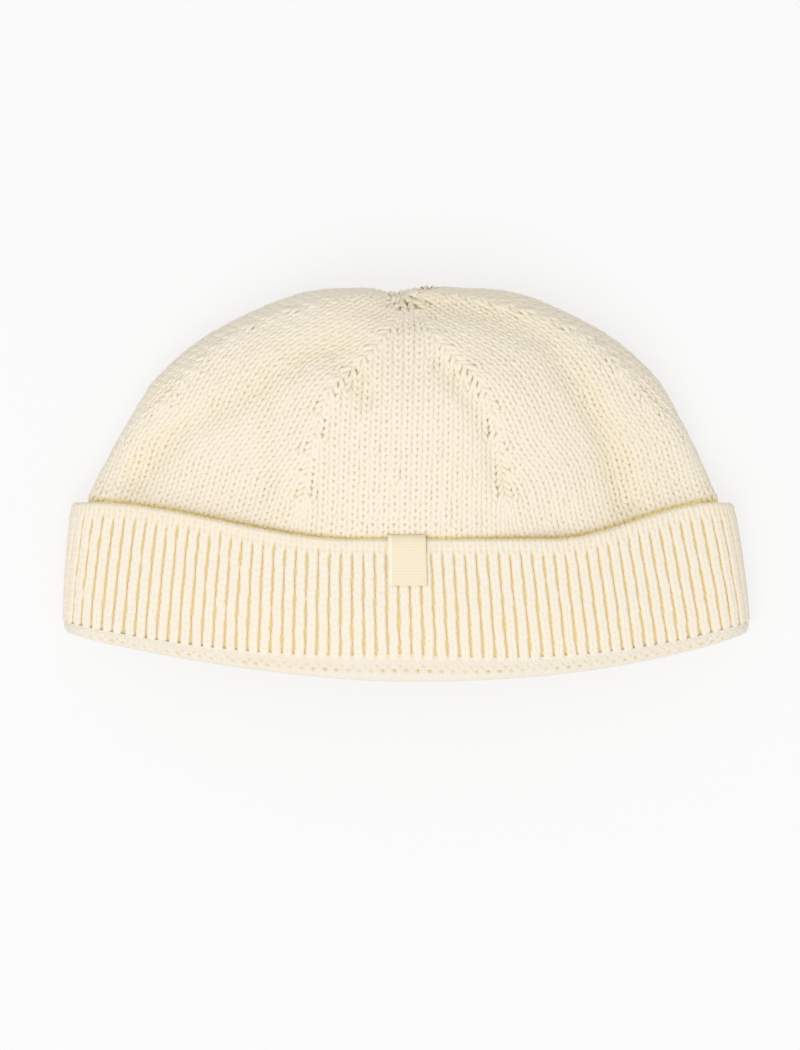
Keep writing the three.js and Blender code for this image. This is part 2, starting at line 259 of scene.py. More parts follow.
def drawn_in(points):
    """The tight end of the yarn pulls the closed top aside and leaves a notch in the outline."""
    beside = np.exp(-((points[..., 0] - NOTCH_X) / NOTCH_REACH) ** 2)
    near = ease((points[..., 1] - CLOSED_TOP[1] + NOTCH_LENGTH) / NOTCH_LENGTH)
    distance = np.linalg.norm(points - CLOSED_TOP, axis=-1)
    moved = points + np.exp(-(distance / PULL_REACH) ** 2)[..., None] * np.array(PULL_SHIFT)
    moved[..., 1] -= NOTCH_DEPTH * beside * near
    return moved


COLUMNS = 480
edge_points = ring(cuff_section(1), COLUMNS)
edge_points = edge_points[edge_points[:, 2] > FOLD_RADIUS]
edge_points = edge_points[np.argsort(edge_points[:, 0])]


def past_edge(points):
    """How far up a point lies from the line of the cuff's edge."""
    return points[..., 1] - np.interp(points[..., 0], edge_points[:, 0], edge_points[:, 1])


# The crown bulges softly above the cuff's edge, and the label's thick fold presses a dent into it
WALE, COURSE, ROWS_PER_COURSE = 3.5, 2.27, 2
CROWN_START, CROWN_SAMPLES, TOP_GAP = 2.35, 400, 0.02
FREE_HEIGHT = 4.5
EDGE_PUFF, EDGE_PUFF_AT, EDGE_PUFF_REACH, PUFF_FACING = 1.5, 3.0, 4.0, 0.3
LABEL_SHIFT = 1.4
DENT_DEPTH, DENT_REACH, DENT_HEIGHT, DENT_FACING = 1.5, 8.5, 3.5, 0.5


def crown_wall():
    places = np.linspace(CROWN_START, LAST_ROW - TOP_GAP, CROWN_SAMPLES)
    middle = np.array([ring(crown_section(place), 8)[0] for place in places])
    run = run_along(middle)
    steps = int(run[-1] / COURSE * ROWS_PER_COURSE)
    places = np.interp(np.linspace(0, run[-1], steps), run, places)
    plain = Wall(np.array([ring(crown_section(place), COLUMNS) for place in places]))
    facing, above = plain.out[..., 2], plain.rings[..., 1] - EDGE_LINE
    height = relief(plain.rings) * np.maximum(0, facing) ** 2 + gather(plain.rings)
    height = height * ease(above / FREE_HEIGHT)
    from_puff = (past_edge(plain.rings) - EDGE_PUFF_AT) / EDGE_PUFF_REACH
    height += EDGE_PUFF * np.exp(-from_puff ** 2) * (facing > PUFF_FACING)
    pressed = np.exp(-((plain.rings[..., 0] - LABEL_SHIFT) / DENT_REACH) ** 4) * (facing > DENT_FACING)
    height -= DENT_DEPTH * pressed * (1 - ease(above / DENT_HEIGHT))
    return Wall(off_table(drawn_in(plain.rings + height[..., None] * plain.out)))


CROWN_WALL = crown_wall()
CROWN_COURSES = (len(CROWN_WALL.rings) - 1) / ROWS_PER_COURSE

# One loop from its middle to its foot: stitches across, courses up, and yarn radii out of the wall
JERSEY_YARN, JERSEY_SPREAD, JERSEY_DEPTH, JERSEY_DRIFT = 0.85, 1.1, -1.1, (0.03, 0.018, 0.09)
JERSEY_LOOP = (
    (0, 0.95, -1.1), (0.30, 0.80, -0.6), (0.38, 0.38, 0.2), (0.27, -0.05, 0.5),
    (0.15, -0.5, 0.38), (0.15, -0.85, -0.4), (0.5, -1.02, -1.1),
)
YARN_CREST, YARN_FLOOR = -0.1, -1.4
CURVE_STEPS = 12
TABLE_SKIN, UPPER_SIDE = 0.02, 0.2


def lofted(rings, closed_loft=False):
    """Corner numbers of a skin over rings of points."""
    rows, columns = rings.shape[:2]
    last = rows if closed_loft else rows - 1
    r, c = np.meshgrid(np.arange(last), np.arange(columns), indexing="ij")
    up, on = (r + 1) % rows, (c + 1) % columns
    quads = np.stack([r * columns + c, r * columns + on, up * columns + on, up * columns + c], -1)
    return quads.reshape(-1, 4)


def stitch_path(half_loop, samples, wale, course, radius):
    """One loop of yarn from foot to foot, as evenly spaced points."""
    half = np.array(half_loop, float)
    whole = np.concatenate([(half[1:] * (-1, 1, 1))[::-1], half])
    before, after = whole[-2] - (1, 0, 0), whole[1] + (1, 0, 0)
    p = np.concatenate([[before], whole, [after]])
    t = np.linspace(0, 1, CURVE_STEPS, endpoint=False)[None, :, None]
    fine = through(*(p[i:len(p) - 3 + i, None] for i in range(4)), t).reshape(-1, 3)
    fine = np.concatenate([fine, whole[-1:]])
    return evenly(fine, run_along(fine * (wale, course, radius)), samples)


def yarn(wall, paths, radius, sides, spread=1.0, end=1.0):
    """Points, faces and painted shade of yarn laid on a wall, the shade deeper where the yarn dives into the
    knit, and where it lies on the upper side. A path holds rows, shares of the way round and lifts, and its
    two ends narrow to a share of the yarn's radius."""
    all_points, all_faces, all_depths, all_upper, first = [], [], [], [], 0
    radius = np.reshape(radius, (-1, 1))
    angles = np.arange(sides) * 2 * math.pi / sides
    for rows, shares, lifts in paths:
        out = unit(wall.read(wall.out, rows, shares))
        centre = wall.read(wall.rings, rows, shares) + lifts[:, None] * out
        way = unit(np.gradient(centre, axis=0))
        beside = unit(np.cross(way, out))
        over = np.cross(beside, way)
        narrowed = np.ones((len(rows), 1))
        narrowed[[0, -1]] = end
        aside, above = radius * spread * np.cos(angles) * narrowed, radius * np.sin(angles) * narrowed
        tube = centre[:, None] + aside[..., None] * beside[:, None] + above[..., None] * over[:, None]
        all_points.append(off_table(tube, TABLE_SKIN).reshape(-1, 3))
        all_faces.append(lofted(tube) + first)
        all_depths.append((lifts[:, None] + above).ravel())
        all_upper.append(out[:, 2] > UPPER_SIDE)
        first += tube.shape[0] * sides
    # Painted shade: the deeper the yarn lies below its crest, the darker its tone
    painted_shade = (YARN_CREST - np.concatenate(all_depths)) / (YARN_CREST - YARN_FLOOR)
    upper = np.repeat(np.concatenate(all_upper), sides)
    return np.concatenate(all_points), np.concatenate(all_faces), np.clip(painted_shade, 0, 1) / 2, upper


class Shade:
    """A value on its way through a material's nodes, so that shader maths reads as plain sums."""

    def __init__(self, tree, socket):
        self.tree, self.socket = tree, socket

    def of(self, kind, output=0, settings=None, **inputs):
        """A node of a kind, with its settings set first and then its sockets, by name or as _number."""
        made = self.tree.nodes.new(kind)
        for name, value in (settings or {}).items():
            if name == "stops":
                ramp = made.color_ramp
                for stop, (place, colour) in zip(ramp.elements, (value[0], value[-1])):
                    stop.position, stop.color = place, colour
                for place, colour in value[1:-1]:
                    ramp.elements.new(place).color = colour
            else:
                setattr(made, name, value)
        for name, value in inputs.items():
            numbered = name[1:].isdigit()
            socket = made.inputs[int(name[1:]) if numbered else name.replace("_", " ")]
            if isinstance(value, Shade):
                value.into(socket)
            else:
                socket.default_value = value
        return Shade(self.tree, made.outputs[output])

    def into(self, socket):
        self.tree.links.new(self.socket, socket)

    def sum(self, operation, first, second):
        return self.of("ShaderNodeMath", 0, {"operation": operation}, _0=first, _1=second)

    def __add__(self, other): return self.sum("ADD", self, other)
    def __radd__(self, other): return self.sum("ADD", other, self)
    def __sub__(self, other): return self.sum("SUBTRACT", self, other)
    def __rsub__(self, other): return self.sum("SUBTRACT", other, self)
    def __mul__(self, other): return self.sum("MULTIPLY", self, other)
    def __rmul__(self, other): return self.sum("MULTIPLY", other, self)

    def blend(self, low, high):
        return self.of("ShaderNodeMix", 2, {"data_type": "RGBA"}, _0=self, _6=low, _7=high)


def finish(name):
    """A new material, its skin and the start of its node sums."""
    material = bpy.data.materials.new(name)
    material.use_nodes = True
    tree = material.node_tree
    return material, tree.nodes["Principled BSDF"], Shade(tree, None)


# How much broad patches and single fibres vary the wool's tone, and how many of them go to a metre
PATCH_TONE, FIBRE_TONE, PATCH_SCALE, FIBRE_SCALE = 0.15, 0.12, 30.0, 2600.0
FIBRE_HEIGHT, SMOOTHEST, FIBRE_ROUGH = 0.0004, 0.8, 0.2
DARK = (0, 0, 0)


def wool(name, tones, glows, fibre_bump=0.35):
    """Wool in one tone, or in three along a painted shade value: where it stands proud, where it dives into
    the knit, and inside a fold, the last two being painted shade. A painted glow there stands in for light
    soaking through the loose yarn."""
    material, skin, start = finish(name)
    place = start.of("ShaderNodeTexCoord", 3)
    patch = start.of("ShaderNodeTexNoise", 0, None, Vector=place, Scale=PATCH_SCALE, Detail=3.0)
    fibre = start.of("ShaderNodeTexNoise", 0, None, Vector=place, Scale=FIBRE_SCALE, Detail=2.0)
    # The mesh's depth attribute carries the painted shade and painted glow that the tones and glows follow
    depth = start.of("ShaderNodeAttribute", 2, {"attribute_name": "depth"})
    strength = depth + patch * PATCH_TONE + fibre * FIBRE_TONE - (PATCH_TONE + FIBRE_TONE) / 2
    for colours, socket in ((tones, "Base Color"), (glows, "Emission Color")):
        if isinstance(colours[0], tuple):
            stops = [(share, (*colour, 1)) for share, colour in zip((0, 0.5, 1), colours)]
            start.of("ShaderNodeValToRGB", 0, {"stops": stops}, _0=strength).into(skin.inputs[socket])
        else:
            skin.inputs[socket].default_value = (*colours, 1)
    (SMOOTHEST + fibre * FIBRE_ROUGH).into(skin.inputs["Roughness"])
    bump = start.of("ShaderNodeBump", 0, None, Height=fibre, Strength=fibre_bump, Distance=FIBRE_HEIGHT)
    bump.into(skin.inputs["Normal"])
    skin.inputs["Emission Strength"].default_value = 1
    skin.inputs["Specular IOR Level"].default_value = 0.1
    skin.inputs["Sheen Weight"].default_value = 0.3
    skin.inputs["Sheen Roughness"].default_value = 0.5
    return material


def mesh_piece(name, points, faces, material, node, painted_shade=None):
    """A smooth mesh in millimetres as a piece of the cap, in place of one of its plain solids."""
    mesh = bpy.data.meshes.new(name)
    mesh.vertices.add(len(points))
    mesh.vertices.foreach_set("co", (points * MILLIMETRE).ravel().astype(np.float32))
    mesh.loops.add(faces.size)
    mesh.loops.foreach_set("vertex_index", faces.ravel().astype(np.int32))
    mesh.polygons.add(len(faces))
    mesh.polygons.foreach_set("loop_start", np.arange(0, faces.size, faces.shape[1], dtype=np.int32))
    mesh.polygons.foreach_set("use_smooth", np.full(len(faces), True))
    # The painted shade goes to the wool as the mesh's depth attribute
    if painted_shade is not None:
        field = mesh.attributes.new("depth", "FLOAT", "POINT").data
        field.foreach_set("value", painted_shade.ravel().astype(np.float32))
    mesh.update()
    mesh.validate()
    mesh.materials.append(material)
    piece = bpy.data.objects.new(name, mesh)
    bpy.context.collection.objects.link(piece)
    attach(piece, "root")
    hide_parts(node)


# Cream where the yarn stands proud; the olive and gold tones and the glow are painted shade and painted glow
JERSEY_WOOL = wool("cream_jersey_wool", ((0.91, 0.83, 0.70), (0.74, 0.65, 0.38), (0.86, 0.72, 0.38)),
                   (DARK, (0.07, 0.055, 0.02), (0.27, 0.21, 0.07)))
FOLD_PAINTED_SHADE, DEEP_FOLD = 0.08, 2.0
TUCK_START, TUCK_FADE, TUCK_PAINTED_SHADE, TUCK_SHADE_GAIN = 1.3, 1.6, 0.95, 0.5
CLOSED_END = 0.05


def crown_yarn(name, paths, radius, sides, spread=1.0):
    """Yarn of the crown. Painted shade deepens its tone in the folds, and painted shade and glow lie where
    the knit dips behind the cuff.
    """
    points, faces, painted_shade, upper = yarn(CROWN_WALL, paths, radius, sides, spread, CLOSED_END)
    # Painted shade in the folds, on the yarn's upper side
    painted_shade = painted_shade + FOLD_PAINTED_SHADE * upper * np.clip(-relief(points) / DEEP_FOLD, 0, 1)
    # Painted shade and glow where the knit runs in under the cuff's edge
    tuck_painted_shade = 1 - ease((past_edge(points) - TUCK_START) / TUCK_FADE)
    painted_shade = np.maximum(painted_shade, tuck_painted_shade * (TUCK_PAINTED_SHADE + TUCK_SHADE_GAIN * painted_shade))
    mesh_piece(name, points, faces, JERSEY_WOOL, "crown", painted_shade)


# The panels lie between these shares of the way round. The front ones narrow towards the top, each time
# from a course on, over a number of courses, by a share of the girth
INNER_EDGE, OUTER_EDGE, BACK_EDGE = 1 / 12, 1 / 4, 5 / 12
INNER_NARROWS, OUTER_NARROWS = ((28, 16, 0.05),), ((12, 10, 0.03), (32, 12, 0.05))
PANEL_NAMES = ("front", "front_right", "back_right", "back", "back_left", "front_left")


def narrowed_edge(share, narrows, course):
    """Where the edge of a panel lies at a course, once its decreases have drawn it in."""
    for first, length, less in narrows:
        share = share - less * ease((course - first) / length)
    return share


def panel_edges(panel, row):
    course = row / ROWS_PER_COURSE
    inner = narrowed_edge(INNER_EDGE, INNER_NARROWS, course)
    outer = narrowed_edge(OUTER_EDGE, OUTER_NARROWS, course)
    edges = (-inner, inner, outer, BACK_EDGE, 1 - BACK_EDGE, 1 - outer, 1 - inner)
    return edges[panel], edges[panel + 1]


# Beside the decreases every second course stands up in a lump
LUMP_HEIGHT, LUMP_REACH, FIRST_LUMP, LAST_LUMP, LUMP_RISE, LUMP_FALL = 0.5, 2.6, 12, 44, 10, 8
chance = np.random.default_rng(11)


def panel_paths(panel, samples):
    """The courses of a panel. Each is a row of whole stitches, the outer two widened to fill it."""
    paths = []
    loop = stitch_path(JERSEY_LOOP, samples, WALE, COURSE, JERSEY_YARN)
    foot_row, foot_lift = JERSEY_LOOP[-1][1], JERSEY_DEPTH + JERSEY_LOOP[-1][2] * JERSEY_YARN
    for course in np.arange(1, LAST_COURSE):
        low, high = panel_edges(panel, course * ROWS_PER_COURSE)
        arc = (high - low) * CROWN_WALL.girth_at(course * ROWS_PER_COURSE)
        each_side = max(0, int(round(arc / 2 / WALE - 0.5)))
        centres = np.arange(-each_side, each_side + 1) * WALE
        widths = np.full(len(centres), WALE)
        spare = arc / 2 - (each_side + 0.5) * WALE
        if each_side:
            widths[[0, -1]] += spare
            centres[0] -= spare / 2
            centres[-1] += spare / 2
        else:
            widths[0] += 2 * spare
        drift = chance.normal(0, 1, (len(centres), 3)) * JERSEY_DRIFT * (WALE, 1, JERSEY_YARN)
        across = (centres[:, None] + loop[:, 0] * widths[:, None] + drift[:, :1]).ravel()
        row = (course + loop[:, 1] + drift[:, 1:2]).ravel()
        lift = (JERSEY_DEPTH + loop[:, 2] * JERSEY_YARN + drift[:, 2:]).ravel()
        lump = LUMP_HEIGHT * ease((course - FIRST_LUMP) / LUMP_RISE) * ease((LAST_LUMP - course) / LUMP_FALL)
        lift += lump * (course % 2) * np.exp(-((arc / 2 - np.abs(across)) / LUMP_REACH) ** 2)
        across, lift = np.append(across, arc / 2), np.append(lift, foot_lift)
        row = np.append(row, course + foot_row) * ROWS_PER_COURSE
        low, high = panel_edges(panel, row)
        girth = CROWN_WALL.girth_at(row)
        room = (high - low) * girth / 2
        paths.append((row, (low + high) / 2 + np.clip(across, -room, room) / girth, lift))
    return paths


# The courses end where the crown has drawn in to the smallest girth, and the strands take over there
SMALLEST_GIRTH = 27
course_girths = CROWN_WALL.girth_at(np.arange(1, CROWN_COURSES - 1) * ROWS_PER_COURSE)
LAST_COURSE = 1 + int((course_girths > SMALLEST_GIRTH).sum())
STRAND_LENGTH, STRAND_OVERLAP, SHORTEST_RUN = 10.0, 1.2, 4
closed_point = CROWN_WALL.rings[-1].mean(0)


def off_the_top(path, loop):
    """The stretches of a path, in whole loops, that stay clear of the drawn-in strands."""
    rows, shares, lifts = path
    distance = np.linalg.norm(CROWN_WALL.read(CROWN_WALL.rings, rows, shares) - closed_point, axis=1)
    smoothed = np.convolve(np.pad(distance, loop // 2, "edge"), np.full(loop, 1 / loop), "valid")
    kept = np.flatnonzero(smoothed[:len(rows)] > STRAND_LENGTH - STRAND_OVERLAP)
    runs = np.split(kept, np.flatnonzero(np.diff(kept) > 1) + 1)
    return [(rows[run], shares[run], lifts[run]) for run in runs if len(run) >= SHORTEST_RUN]


# The front's yarn is drawn finest, because it is seen most
for panel, name in enumerate(PANEL_NAMES):
    samples, sides = (12, 6) if name.startswith("front") else (8, 4) if name == "back" else (10, 5)
    paths = [run for path in panel_paths(panel, samples) for run in off_the_top(path, samples)]
    crown_yarn(f"crown_{name}_panel", paths, JERSEY_YARN, sides, JERSEY_SPREAD)


# The last loops of the crown are drawn tight on the end of the yarn. They run side by side, like the
# strands of a small knot, into the closed top and dive there into its middle.
TOP_STRANDS, STRAND_POINTS, STRAND_YARN, STRAND_TAPER = 32, 16, 0.95, 0.5
STRAND_DRIFT, STRAND_SWAY, STRAND_BENDS = 0.08, 0.004, 5
STRAND_RISE, STRAND_RISE_DRIFT, STRAND_ARCH, STRAND_DIVE = 1.2, 0.15, 0.55, 0.8
TOP_ROWS = 60
to_top = np.linalg.norm(CROWN_WALL.rings - closed_point, axis=2)
row_numbers = np.arange(len(to_top))[-TOP_ROWS:]
foot_rows = np.array([np.interp(-STRAND_LENGTH, -column[-TOP_ROWS:], row_numbers) for column in to_top.T])
strand_feet = CROWN_WALL.read(CROWN_WALL.rings, foot_rows, np.arange(COLUMNS) / COLUMNS)
feet_run = run_along(np.concatenate([strand_feet, strand_feet[:1]]))
strand_way = np.linspace(0, 1, STRAND_POINTS)
strand_paths = []
for strand in range(TOP_STRANDS):
    goal = feet_run[-1] * (strand + 0.5 + chance.normal(0, STRAND_DRIFT)) / TOP_STRANDS
    column = np.interp(goal, feet_run, np.arange(COLUMNS + 1))
    foot = foot_rows[int(column) % COLUMNS]
    strand_rows = foot + (len(CROWN_WALL.rings) - 1.001 - foot) * strand_way
    strand_shares = column / COLUMNS + STRAND_SWAY * np.sin(STRAND_BENDS * strand_way + strand)
    arch = np.sin(math.pi * strand_way ** STRAND_ARCH)
    rise = (STRAND_RISE + chance.normal(0, STRAND_RISE_DRIFT)) * arch
    strand_paths.append((strand_rows, strand_shares, rise - STRAND_RISE - STRAND_DIVE * strand_way ** 4))
crown_yarn("drawn_in_top", strand_paths, STRAND_YARN * (1 - STRAND_TAPER * strand_way), 6)


# Under the loops of the smooth knit lies the back of the same wool. It closes the gaps between the
# loops, lines the hollow of the cap and turns outwards round the hem, where it ends under the ribs.
# Its olive tone is painted shade, seen in the gaps between the loops, and near the closed top it takes a
# painted glow.
BACKING_DEPTH, TOP_COVER, TOP_COVER_REACH, TOP_COVER_FADE = 1.9, 0.9, 12, 8
TOP_GLOW, TOP_GLOW_REACH, TOP_GLOW_FADE = 0.6, 9, 5
BACKING_COLUMNS, BACKING_SKIP, LINING_SKIP, LINING_GAP = 240, 3, 4, 0.1
ROLL_POINTS, BACKING_GAP = 9, 0.1
HEM_BAND, HEM_BAND_AT_SIDE = 4.0, 0.8
LIP_HEIGHT, LIP_DEPTH = 3, 3.4
# Olive tones of painted shade, with a faint painted glow
JERSEY_INSIDE = wool("inner_wool_painted_shade", ((0.80, 0.71, 0.42), (0.80, 0.66, 0.36), (0.80, 0.62, 0.30)),
                     (DARK, (0.06, 0.04, 0.01), (0.10, 0.07, 0.01)), 0.5)


def sparse(rings):
    return rings[:, ::COLUMNS // BACKING_COLUMNS]


def band_height(share):
    """How much of the turned-out hem shows under the ribs, at a share of the way round."""
    return HEM_BAND + (HEM_BAND_AT_SIDE - HEM_BAND) * np.abs(np.sin(2 * math.pi * share))


def rolled(at, out, up, radius, depth, angle):
    """A line of knit that turns inwards on a radius, or the knit that lies a depth inside it."""
    inwards = radius - (radius - depth) * math.cos(angle)
    return at - inwards * out + (radius - depth) * math.sin(angle) * up


hem_wall = Wall(np.array([ring(cuff_section(share), COLUMNS) for share in (0, 0.02, 0.04)]))
hem_line, hem_up, hem_out = (sparse(field)[0] for field in (hem_wall.rings, hem_wall.along, hem_wall.out))
tucked_in = Wall(np.array([ring(crown_section(place), COLUMNS) for place in np.arange(0.2, 2.4, 0.4)]))
near_top = 1 - ease((to_top - TOP_COVER_REACH) / TOP_COVER_FADE)
cover = BACKING_DEPTH + (TOP_COVER - BACKING_DEPTH) * near_top
outside = sparse(CROWN_WALL.rings - cover[..., None] * CROWN_WALL.out)
closing = np.repeat(outside[-1:].mean(1, keepdims=True), BACKING_COLUMNS, 1)
outside = np.concatenate([outside[:-1:BACKING_SKIP], outside[-1:], closing])
lining = sparse(CROWN_WALL.rings - (JERSEY_WALL + LINING_GAP) * CROWN_WALL.out)[::LINING_SKIP]
lining_tucked_in = sparse(tucked_in.rings - JERSEY_WALL * tucked_in.out)
roll_angles = np.radians(np.linspace(180, 0, ROLL_POINTS))
roll = [rolled(hem_line, hem_out, -hem_up, HEM_RADIUS, BACKING_DEPTH, angle) for angle in roll_angles]
lip_rise = (band_height(np.arange(BACKING_COLUMNS) / BACKING_COLUMNS) + LIP_HEIGHT)[:, None] * hem_up
lip = [hem_line - depth * hem_out + lip_rise for depth in (BACKING_DEPTH, LIP_DEPTH)]
backing = off_table(np.array([*lining[::-1], *lining_tucked_in[::-1], *roll, *lip, *outside]), BACKING_GAP)
# Painted glow and deeper painted shade on the backing near the closed top
top_painted_glow = np.zeros(backing.shape[:2])
from_point = np.linalg.norm(outside - closed_point, axis=2)
top_painted_glow[-len(outside):] = TOP_GLOW * (1 - ease((from_point - TOP_GLOW_REACH) / TOP_GLOW_FADE))
mesh_piece("crown_backing", backing.reshape(-1, 3), lofted(backing), JERSEY_INSIDE, "crown",
           top_painted_glow)


# The hem is where the smooth knit turns outwards in a soft roll and shows its purl side. A row of open
# loops runs round it where the ribbed cuff was joined on, with a small gap between each two of them.
# The gaps are also darkened with painted shade.
HEM_STITCHES, SKIN_PER_STITCH, HEM_COURSE, HEM_STEP = 126, 8, 2.3, 0.5
HEM_SKIN_DEPTH, HEM_PURL, HEM_FUZZ = 0.3, 0.16, 0.04
BAND_TOP, BAND_SHOWN, BAND_POINTS, HEM_ROLL_POINTS = 1.6, 0.6, 8, 15
# Rows of gaps: distance along the band, reach sideways and along, depth, painted shade and offset in
# stitches
HEM_GAPS = ((2.95, 0.5, 0.45, 1.2, 1.0, 0.0), (1.45, 0.45, 0.4, 0.5, 0.35, 0.5))
GAP_VARY, GAP_RHYTHM = 0.25, 7.3
# Cream, with darker tones of painted shade in the gaps
HEM_WOOL = wool("cream_hem_wool", ((0.85, 0.775, 0.66), (0.82, 0.68, 0.40), (0.62, 0.44, 0.16)), DARK)
full_line, full_up, full_out = hem_wall.rings[0], hem_wall.along[0], hem_wall.out[0]
full_shares = np.arange(COLUMNS) / COLUMNS
hem_rows = [full_line + (band_height(full_shares) * climb)[:, None] * full_up
            for climb in np.linspace(BAND_TOP, 0, BAND_POINTS)[:-1]]
hem_rows += [rolled(full_line, full_out, -full_up, HEM_RADIUS, 0, angle)
             for angle in np.radians(np.linspace(0, 180, HEM_ROLL_POINTS))]
hem_rows += list(tucked_in.rings[:2] - JERSEY_WALL * tucked_in.out[:2])
hem_rows = off_table(np.array(hem_rows))
hem_skin = Wall(hem_rows, -1)
middle_run = run_along(hem_rows[:, 0])
skin_rows = np.interp(np.arange(0, middle_run[-1], HEM_STEP), middle_run, np.arange(len(hem_rows)))
skin_columns = HEM_STITCHES * SKIN_PER_STITCH
skin_rows, skin_shares = np.meshgrid(skin_rows, np.arange(skin_columns) / skin_columns, indexing="ij")
hem_points = hem_skin.read(hem_rows, skin_rows, skin_shares)
skin_out = unit(hem_skin.read(hem_skin.out, skin_rows, skin_shares))
down = np.cumsum(np.linalg.norm(np.diff(hem_points, axis=0), axis=2), axis=0)
down = np.concatenate([0 * down[:1], down]) - BAND_SHOWN * band_height(skin_shares)
stitch = skin_shares * HEM_STITCHES
bumps = HEM_PURL * np.cos(4 * math.pi * stitch) * np.cos(2 * math.pi * down / HEM_COURSE)
bumps += chance.normal(0, HEM_FUZZ, bumps.shape) - HEM_SKIN_DEPTH
gap_painted_shade = np.zeros(bumps.shape)
for below, wide, tall, deep, tone, offset in HEM_GAPS:
    number = np.round(stitch - offset)
    beside = (stitch - offset - number) * WALE
    gap = np.exp(-((beside / wide) ** 2 + ((down - below) / tall) ** 2))
    gap = (1 - GAP_VARY + GAP_VARY * np.sin(GAP_RHYTHM * number)) * gap
    bumps -= deep * gap
    # Painted shade in each gap
    gap_painted_shade = np.maximum(gap_painted_shade, tone * gap)
hem_points = off_table(hem_points + bumps[..., None] * skin_out, TABLE_SKIN)
mesh_piece("purl_hem", hem_points.reshape(-1, 3), lofted(hem_points), HEM_WOOL, "crown",
           gap_painted_shade)


# The cuff is a band of one-by-one rib, turned up round the crown. Each rib is a column of loops that
# stands proud, and between the ribs the yarn dives back into grooves tinted with painted shade. They fade
# out below the plain rounded edge, which rolls over inwards and runs down behind with painted shade and
# glow.
RIBS, RIB_WIDTH, RIB_COURSE = 126, 3.85, 2.3
RIB_YARN, RIB_SPREAD, RIB_DEPTH, RIB_DRIFT = 0.9, 1.27, -1.0, 0.02
RIB_LOOP = (
    (0, 0.95, -0.4), (0.12, 0.8, 0), (0.17, 0.4, 0.35), (0.165, -0.05, 0.5),
    (0.14, -0.5, 0.4), (0.15, -0.85, 0), (0.3, -1.0, -0.8), (0.5, -1.0, -1.2),
)
RIB_LEAN, RIB_SWAY, RIB_WAVE = 0.0055, 0.04, 0.025
SWAY_QUICK, SWAY_SLOW = (1.3, 2.1), (0.45, 0.7)
EDGE_RADIUS, EDGE_PLAIN, EDGE_FADE, EDGE_WIDEN, EDGE_FLATTEN = RIB_WALL / 2, 2.5, 1.0, 1.1, 0.75
EDGE_PAINTED_SHADE, EDGE_SHADE_START, EDGE_SHADE_FADE = 0.5, 1.0, 1.2
FOOT_GAP, TUCK_INSIDE, TUCK_STEP, CUFF_RINGS = 0.6, 7.0, 1.15, 20
GROUND_DEPTH, GROUND_SKIP, BEHIND_DEPTH, BEHIND_SKIP = 0.75, 2, 3.3, 4
# Cream where the ribs stand proud; the gold tones and the glow are painted shade and painted glow
RIB_WOOL = wool("cream_rib_wool", ((0.905, 0.825, 0.69), (0.87, 0.70, 0.36), (0.60, 0.43, 0.17)),
                (DARK, (0.14, 0.10, 0.04), DARK))
# The ground seen in the grooves, in a gold tone of painted shade
RIB_GROUND = wool("rib_ground_painted_shade", (0.80, 0.64, 0.30), DARK, 0.5)

plain_cuff = Wall(np.array([ring(cuff_section(share), COLUMNS) for share in np.linspace(0, 1, CUFF_RINGS)]))
EDGE_ROW = int(round((CUFF_HEIGHT - HEM_BAND) / RIB_COURSE)) * ROWS_PER_COURSE
foot_share = (band_height(full_shares) + CLEARANCE + FOOT_GAP) / CUFF_HEIGHT
cuff_rows = []
for climb in np.linspace(0, 1, EDGE_ROW + 1):
    height = foot_share + (1 - foot_share) * climb
    cuff_rows.append(plain_cuff.read(plain_cuff.rings, height * (CUFF_RINGS - 1), full_shares))
edge_wall = Wall(np.array([ring(cuff_section(share), COLUMNS) for share in (0.96, 0.98, 1)]))
edge_line, edge_up, edge_out = (field[-1] for field in (edge_wall.rings, edge_wall.along, edge_wall.out))
for angle in np.radians(np.arange(36, 181, 36)):
    cuff_rows.append(rolled(edge_line, edge_out, edge_up, EDGE_RADIUS, 0, angle))
for drop in np.arange(1, TUCK_INSIDE, TUCK_STEP):
    cuff_rows.append(edge_line - 2 * EDGE_RADIUS * edge_out - drop * edge_up)
CUFF_WALL = Wall(off_table(np.array(cuff_rows)))


def rib_paths(first, last, samples):
    """The courses of some ribs. Near the edge the loops widen and flatten until no groove is left."""
    paths = []
    loop = stitch_path(RIB_LOOP, samples, RIB_WIDTH, RIB_COURSE, RIB_YARN)
    numbers = np.arange(first, last)[:, None]
    for course in np.arange(0.5, (len(CUFF_WALL.rings) - 1) / ROWS_PER_COURSE - 0.6):
        drift = chance.normal(0, RIB_DRIFT, (last - first, 3))
        row = (course + loop[None, :, 1] + drift[:, 1:2]) * ROWS_PER_COURSE
        from_edge = (EDGE_ROW - row) / ROWS_PER_COURSE * RIB_COURSE
        plain = 1 - ease((from_edge - EDGE_PLAIN) / EDGE_FADE)
        across = loop[None, :, 0] * (1 + EDGE_WIDEN * plain * (1 - 2 * np.abs(loop[None, :, 0])))
        quick, slow = (np.sin(up * course + on * numbers) for up, on in (SWAY_QUICK, SWAY_SLOW))
        sway = RIB_SWAY * quick * slow
        sway = sway + RIB_WAVE * np.sin(math.pi * row) * (1 - plain)
        share = (numbers + across + sway + drift[:, :1]) / RIBS
        climb = np.clip(row / EDGE_ROW, 0, 1)
        share = share - RIB_LEAN * np.sin(2 * math.pi * share) * (climb - 0.5)
        dive = loop[None, :, 2] * (1 - EDGE_FLATTEN * plain)
        lift = RIB_DEPTH + (dive + drift[:, 2:]) * RIB_YARN
        paths.append(tuple(field.ravel() for field in (row, share, lift)))
    return paths


